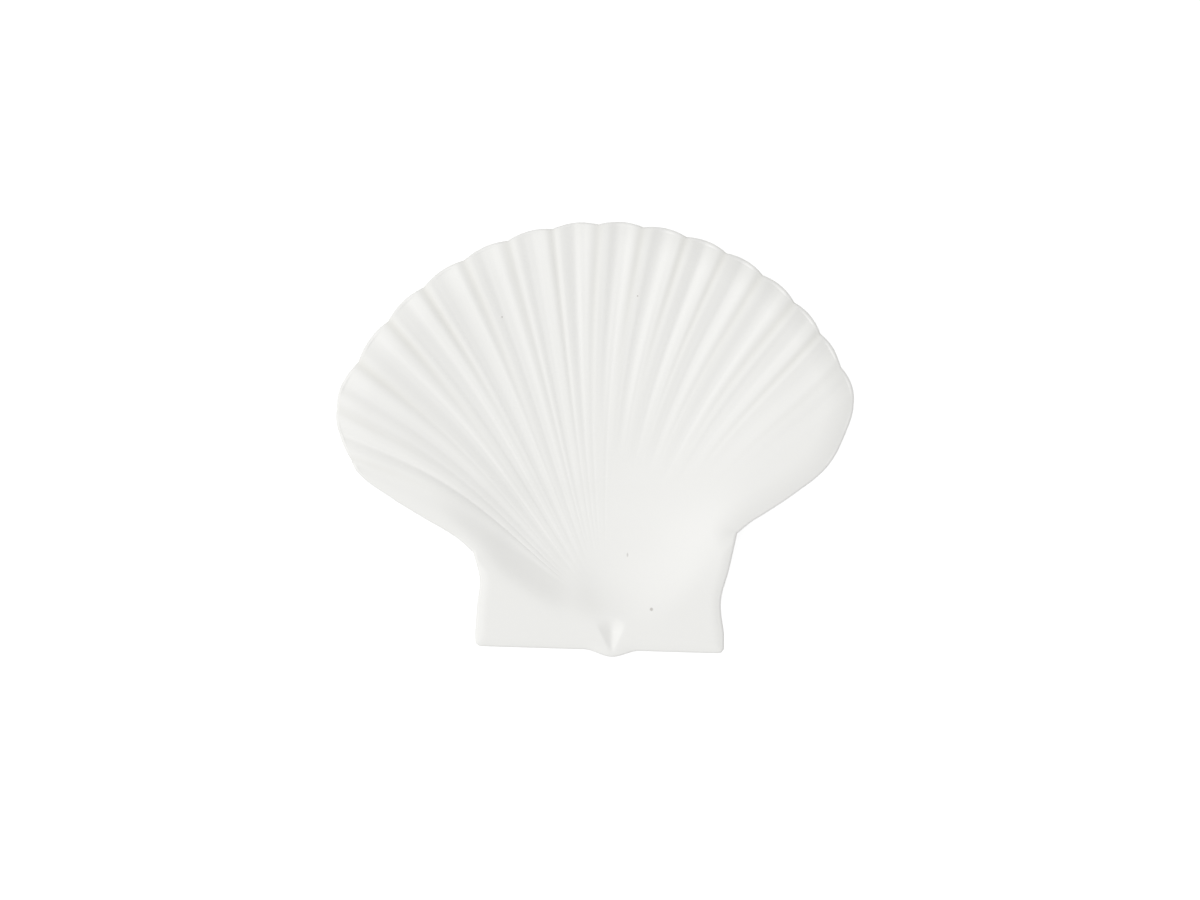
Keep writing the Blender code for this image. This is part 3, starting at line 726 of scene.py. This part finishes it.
# %% [markdown]
# ## Foot ring
#
# A platter like this stands on a low ring, thrown or cast with the wall. Its sides flare where they meet
# the underside, its lower edges are rounded, and its base is wiped bare of glaze so that it doesn't stick
# in the kiln. Its profile is a short list of steps outward and upward from the ring's middle line, and one
# oval loop is extruded for each.

# %% Make the foot ring
FOOT_HALF_WIDTH = 0.080
FOOT_HALF_DEPTH = 0.062
FOOT_CENTRE = (0.000, -0.010)
FOOT_WALL = 0.0070
FOOT_SIDES = 144
FOOT_EDGE_ROUND = 0.0012
FOOT_FLARE = 0.0040
FOOT_BURY = 0.0010
FLARE_STEPS = 6
FOOT_ROUND_STEPS = 4


def foot_side(direction):
    """One side of the profile from the buried top to the base: offset, height, hangs from the wall."""
    half = FOOT_WALL / 2
    side = [(direction * (half + FOOT_FLARE * (1 - math.sin(a))), -FOOT_FLARE * (1 - math.cos(a)), True)
            for a in np.linspace(0, math.pi / 2, FLARE_STEPS)]
    side += [(direction * (half - FOOT_EDGE_ROUND * (1 - math.cos(a))),
              FOOT_EDGE_ROUND * (1 - math.sin(a)), False)
             for a in np.linspace(0, math.pi / 2, FOOT_ROUND_STEPS)]
    return side


profile = foot_side(1) + foot_side(-1)[::-1]
foot = bmesh.new()
bmesh.ops.create_circle(foot, cap_ends=False, segments=FOOT_SIDES, radius=1.0)
loops = [list(foot.verts)]
edges = list(foot.edges)
for _ in profile[1:]:
    made = bmesh.ops.extrude_edge_only(foot, edges=edges)["geom"]
    edges = [g for g in made if isinstance(g, bmesh.types.BMEdge) and g.is_boundary]
    loops.append([g for g in made if isinstance(g, bmesh.types.BMVert)])
for loop, (offset, height, hangs) in zip(loops, profile):
    for vert in loop:
        angle = math.atan2(vert.co.y, vert.co.x)
        x = FOOT_CENTRE[0] + (FOOT_HALF_WIDTH - FOOT_WALL / 2 + offset) * math.cos(angle)
        y = FOOT_CENTRE[1] + (FOOT_HALF_DEPTH - FOOT_WALL / 2 + offset) * math.sin(angle)
        under = base_height(np.array([[x, y]]))[0] - WALL
        vert.co = (x, y, under + height + FOOT_BURY if hangs else height)
bmesh.ops.bridge_loops(foot, edges=[e for e in foot.edges if e.is_boundary])
bmesh.ops.translate(foot, verts=foot.verts, vec=(-BOX_MIDDLE[0], -BOX_MIDDLE[1], 0))
bmesh.ops.recalc_face_normals(foot, faces=foot.faces)
foot_mesh = bpy.data.meshes.new("foot_ring")
foot.to_mesh(foot_mesh)
foot.free()
foot_mesh.shade_smooth()
foot_ring = bpy.data.objects.new("foot_ring", foot_mesh)
bpy.context.scene.collection.objects.link(foot_ring)
print("foot ring's box, mm:", [round(1000 * side, 1) for side in foot_ring.dimensions])

# %% [markdown]
# ## Glaze
#
# The glaze is a satin white with a slight warmth. Its creases are painted a touch darker and warmer, as
# painted shade, and its tone wanders a little from place to place. A few faint specks of iron show through
# it. The pattern reads Object coordinates, so that it stays put in every view.

# %% Mix the white glaze
GLAZE_WHITE = (0.830, 0.829, 0.806, 1)
# A darker, warmer white that is painted into the creases as their shade.
CREASE_SHADE_COLOUR = (0.770, 0.766, 0.731, 1)
GLAZE_THIN = (0.850, 0.847, 0.828, 1)
SPECK_BROWN = (0.16, 0.12, 0.09, 1)
GLAZE_IOR = 1.5
TONE_SCALE = 14.0
TONE_DETAIL = 4.0
SPECKS = [(0.0353, -0.1056, 0.0013, 0.0013, 0.42), (0.0205, -0.0721, 0.0007, 0.0016, 0.28),
          (0.0267, 0.0888, 0.0006, 0.0006, 0.45), (-0.0574, 0.0758, 0.0006, 0.0006, 0.45)]

glaze = bpy.data.materials.new("white_glaze")
glaze.use_nodes = True
nodes, links = glaze.node_tree.nodes, glaze.node_tree.links
shader = nodes["Principled BSDF"]
shader.inputs["IOR"].default_value = GLAZE_IOR
shader.inputs["Specular IOR Level"].default_value = 0.5
where = nodes.new("ShaderNodeTexCoord")

tone = nodes.new("ShaderNodeTexNoise")
tone.inputs["Scale"].default_value = TONE_SCALE
tone.inputs["Detail"].default_value = TONE_DETAIL
links.new(where.outputs["Object"], tone.inputs["Vector"])
tones = nodes.new("ShaderNodeMix")
tones.data_type = "RGBA"
tones.inputs["A"].default_value = GLAZE_WHITE
tones.inputs["B"].default_value = GLAZE_THIN
links.new(tone.outputs["Fac"], tones.inputs["Factor"])

# Painted shade in the creases: the glaze's colour is mixed toward the darker, warmer white by the amount kept
# on the net.
shade_in_crease = nodes.new("ShaderNodeAttribute")
shade_in_crease.attribute_name = "painted_crease_shade"
painted_shade = nodes.new("ShaderNodeMix")
painted_shade.data_type = "RGBA"
painted_shade.inputs["B"].default_value = CREASE_SHADE_COLOUR
links.new(shade_in_crease.outputs["Fac"], painted_shade.inputs["Factor"])
links.new(tones.outputs["Result"], painted_shade.inputs["A"])
print("glaze nodes so far:", len(nodes))

# %% [markdown]
# A speck is a grain of iron in the clay that melts up through the glaze. Each is a soft oval at a place of
# its own, mixed into the colour by the distance from there. An image could hold them too, but they are few
# and easily listed.

# %% Sprinkle the specks
SPECK_EDGE = 1.1
SPECK_CORE = 0.4

colour = painted_shade.outputs["Result"]
for x, y, half_width, half_length, strength in SPECKS:
    centred = nodes.new("ShaderNodeMapping")
    centred.vector_type = "TEXTURE"
    centred.inputs["Location"].default_value = (x - BOX_MIDDLE[0], y - BOX_MIDDLE[1], 0.0)
    centred.inputs["Scale"].default_value = (half_width, half_length, 1.0)
    links.new(where.outputs["Object"], centred.inputs["Vector"])
    reach = nodes.new("ShaderNodeVectorMath")
    reach.operation = "LENGTH"
    links.new(centred.outputs["Vector"], reach.inputs[0])
    inside = nodes.new("ShaderNodeMapRange")
    inside.interpolation_type = "SMOOTHSTEP"
    inside.inputs["From Min"].default_value = SPECK_EDGE
    inside.inputs["From Max"].default_value = SPECK_CORE
    inside.inputs["To Max"].default_value = strength
    links.new(reach.outputs["Value"], inside.inputs["Value"])
    speck = nodes.new("ShaderNodeMix")
    speck.data_type = "RGBA"
    speck.inputs["B"].default_value = SPECK_BROWN
    links.new(inside.outputs["Result"], speck.inputs["Factor"])
    links.new(colour, speck.inputs["A"])
    colour = speck.outputs["Result"]
links.new(colour, shader.inputs["Base Color"])
print("specks:", len(SPECKS))

# %% [markdown]
# A satin glaze throws light back in a wide soft patch. Its roughness wanders with its tone, and a very low
# bump gives it the faint orange peel that a glaze keeps from the firing. As geometry that would need far more
# faces.

# %% Set the gloss and the fine unevenness
ROUGH_SMOOTH = 0.38
ROUGH_DULL = 0.50
ORANGE_PEEL_SCALE = 260.0
ORANGE_PEEL_DETAIL = 2.0
ORANGE_PEEL_HEIGHT = 0.00002

sheen = nodes.new("ShaderNodeMapRange")
sheen.inputs["To Min"].default_value = ROUGH_SMOOTH
sheen.inputs["To Max"].default_value = ROUGH_DULL
links.new(tone.outputs["Fac"], sheen.inputs["Value"])
links.new(sheen.outputs["Result"], shader.inputs["Roughness"])
peel = nodes.new("ShaderNodeTexNoise")
peel.inputs["Scale"].default_value = ORANGE_PEEL_SCALE
peel.inputs["Detail"].default_value = ORANGE_PEEL_DETAIL
links.new(where.outputs["Object"], peel.inputs["Vector"])
bump = nodes.new("ShaderNodeBump")
bump.inputs["Strength"].default_value = 1.0
bump.inputs["Distance"].default_value = ORANGE_PEEL_HEIGHT
links.new(peel.outputs["Fac"], bump.inputs["Height"])
links.new(bump.outputs["Normal"], shader.inputs["Normal"])
shell.data.materials.append(glaze)

# %% [markdown]
# The foot ring wears the same glaze down to a line just above the table. Below it the clay is bare: warmer,
# rough and slightly grainy. The height above the table, read from Object coordinates, says which of the two
# it is.

# %% Mix the foot's finish
BARE_CLAY = (0.72, 0.66, 0.56, 1)
BARE_GRAIN = (0.62, 0.56, 0.47, 1)
GLAZE_LINE = 0.0016
GLAZE_LINE_WIDTH = 0.0003
GRAIN_SCALE = 900.0
ROUGH_CLAY = 0.85

foot_finish = glaze.copy()
foot_finish.name = "wiped_foot"
nodes, links = foot_finish.node_tree.nodes, foot_finish.node_tree.links
shader = nodes["Principled BSDF"]
where = next(n for n in nodes if n.bl_idname == "ShaderNodeTexCoord")
split = nodes.new("ShaderNodeSeparateXYZ")
links.new(where.outputs["Object"], split.inputs["Vector"])
bare = nodes.new("ShaderNodeMapRange")
bare.inputs["From Min"].default_value = GLAZE_LINE + GLAZE_LINE_WIDTH
bare.inputs["From Max"].default_value = GLAZE_LINE
links.new(split.outputs["Z"], bare.inputs["Value"])
grain = nodes.new("ShaderNodeTexNoise")
grain.inputs["Scale"].default_value = GRAIN_SCALE
links.new(where.outputs["Object"], grain.inputs["Vector"])
clay = nodes.new("ShaderNodeMix")
clay.data_type = "RGBA"
clay.inputs["A"].default_value = BARE_CLAY
clay.inputs["B"].default_value = BARE_GRAIN
links.new(grain.outputs["Fac"], clay.inputs["Factor"])
finish = nodes.new("ShaderNodeMix")
finish.data_type = "RGBA"
links.new(bare.outputs["Result"], finish.inputs["Factor"])
links.new(shader.inputs["Base Color"].links[0].from_socket, finish.inputs["A"])
links.new(clay.outputs["Result"], finish.inputs["B"])
links.new(finish.outputs["Result"], shader.inputs["Base Color"])
roughness = nodes.new("ShaderNodeMix")
links.new(bare.outputs["Result"], roughness.inputs["Factor"])
links.new(shader.inputs["Roughness"].links[0].from_socket, roughness.inputs["A"])
roughness.inputs["B"].default_value = ROUGH_CLAY
links.new(roughness.outputs["Result"], shader.inputs["Roughness"])
foot_ring.data.materials.append(foot_finish)
print("materials:", glaze.name, "and", foot_finish.name)

# %% [markdown]
# On the real platter the wall and the ring are fused. So both pieces stand for the one solid and ride on
# its body.

# %% Tie the pieces to the frame
for piece in (shell, foot_ring):
    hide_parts("platter")
    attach(piece, "root")
print("pieces in place of the solid:", shell.name, "and", foot_ring.name)

# %% [markdown]
# ## Stage
#
# The picture was taken from straight above on a plain white ground, under a large soft light from the left.
# The ground is a pale floor that also shines toward the rays that look at it, which are the camera's and
# those that a gloss or a glass sends on. So it reads as white, while the platter still gets only the plain
# light of the room.

# %% Lay the floor
FLOOR_SIZE = 6.0
FLOOR_BELOW = 0.0001
FLOOR_WHITE = (0.55, 0.55, 0.55, 1)
FLOOR_SHINE = 0.74


def seen_ray(nodes, links):
    """A socket that is 1 for the camera's rays, and for those that a gloss or a glass sends on."""
    path = nodes.new("ShaderNodeLightPath")
    mirrored = nodes.new("ShaderNodeMath")
    passed_on = nodes.new("ShaderNodeMath")
    links.new(path.outputs["Is Camera Ray"], mirrored.inputs[0])
    links.new(path.outputs["Is Glossy Ray"], mirrored.inputs[1])
    links.new(mirrored.outputs["Value"], passed_on.inputs[0])
    links.new(path.outputs["Is Transmission Ray"], passed_on.inputs[1])
    passed_on.use_clamp = True
    return passed_on.outputs["Value"]


floor_form = bmesh.new()
bmesh.ops.create_grid(floor_form, x_segments=1, y_segments=1, size=FLOOR_SIZE / 2)
floor_mesh = bpy.data.meshes.new("floor")
floor_form.to_mesh(floor_mesh)
floor_form.free()
floor = bpy.data.objects.new("floor", floor_mesh)
bpy.context.scene.collection.objects.link(floor)
floor.location.z = -FLOOR_BELOW
ground = bpy.data.materials.new("white_ground")
ground.use_nodes = True
nodes, links = ground.node_tree.nodes, ground.node_tree.links
shader = nodes["Principled BSDF"]
shader.inputs["Base Color"].default_value = FLOOR_WHITE
shader.inputs["Roughness"].default_value = 1.0
shader.inputs["Specular IOR Level"].default_value = 0.0
shader.inputs["Emission Color"].default_value = (1, 1, 1, 1)
shine = nodes.new("ShaderNodeMath")
shine.operation = "MULTIPLY"
shine.inputs[1].default_value = FLOOR_SHINE
links.new(seen_ray(nodes, links), shine.inputs[0])
links.new(shine.outputs["Value"], shader.inputs["Emission Strength"])
floor.data.materials.append(ground)
floor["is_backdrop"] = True
print("floor, m:", FLOOR_SIZE)

# %% [markdown]
# The room's light is even from all sides, and one wide, soft sun lamp from the left brings out the flutes. An
# area lamp would grow weaker across the platter, while a sun lamp lights every flute alike.

# %% Light the room
ROOM_LIGHT = 0.716
LAMP_STRENGTH = 1.20
LAMP_HEIGHT = math.radians(45.0)
LAMP_FROM = math.radians(180.0)
LAMP_SOFTNESS = math.radians(70.0)

world = bpy.data.worlds.new("room")
world.use_nodes = True
bpy.context.scene.world = world
nodes, links = world.node_tree.nodes, world.node_tree.links
background = nodes["Background"]
strength = nodes.new("ShaderNodeMix")
strength.inputs["A"].default_value = ROOM_LIGHT
strength.inputs["B"].default_value = 1.0
links.new(seen_ray(nodes, links), strength.inputs["Factor"])
background.inputs["Color"].default_value = (1, 1, 1, 1)
links.new(strength.outputs["Result"], background.inputs["Strength"])
lamp_data = bpy.data.lights.new("window", "SUN")
lamp_data.energy = LAMP_STRENGTH
lamp_data.angle = LAMP_SOFTNESS
lamp = bpy.data.objects.new("window", lamp_data)
bpy.context.scene.collection.objects.link(lamp)
toward = Vector((math.cos(LAMP_HEIGHT) * math.cos(LAMP_FROM), math.cos(LAMP_HEIGHT) * math.sin(LAMP_FROM),
                 math.sin(LAMP_HEIGHT)))
lamp.rotation_euler = toward.to_track_quat("Z", "Y").to_euler()
lamp.location = toward
print("lamp comes from, degrees:", round(math.degrees(LAMP_FROM)))

# %% [markdown]
# The camera looks straight down from far off with a long lens. The platter takes 517 of the picture's 1200
# columns and sits a little left of and above the middle, so the camera stands off to the other side by that
# much.

# %% Set the camera
PICTURE_WIDTH = 1200
METRES_PER_PIXEL = 0.00062
OBJECT_OFFSET = (-5.0, 10.75)
LENS = 100.0
SENSOR = 36.0
FARTHEST_SEEN = 20.0

camera_data = bpy.data.cameras.new("camera")
camera_data.lens = LENS
camera_data.sensor_width = SENSOR
camera = bpy.data.objects.new("camera", camera_data)
bpy.context.scene.collection.objects.link(camera)
distance = PICTURE_WIDTH * METRES_PER_PIXEL * LENS / SENSOR
camera.location = (-OBJECT_OFFSET[0] * METRES_PER_PIXEL, -OBJECT_OFFSET[1] * METRES_PER_PIXEL,
                   RIM_HEIGHT + distance)
camera_data.clip_end = FARTHEST_SEEN
bpy.context.scene.camera = camera
bpy.context.scene.view_settings.view_transform = "Standard"
print("camera height, m:", round(camera.location.z, 3))

# %% [markdown]
# The fine wall mustn't stand out past the solid, so the room left between the two boxes is printed.

# %% Compare the boxes and finish
end_box = [list(corner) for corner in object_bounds()]
spare = [1000 * (b - a) for a, b in zip(start_box[0] + end_box[1], end_box[0] + start_box[1])]
print("room left inside the solid's box, mm:", [round(side, 2) for side in spare])
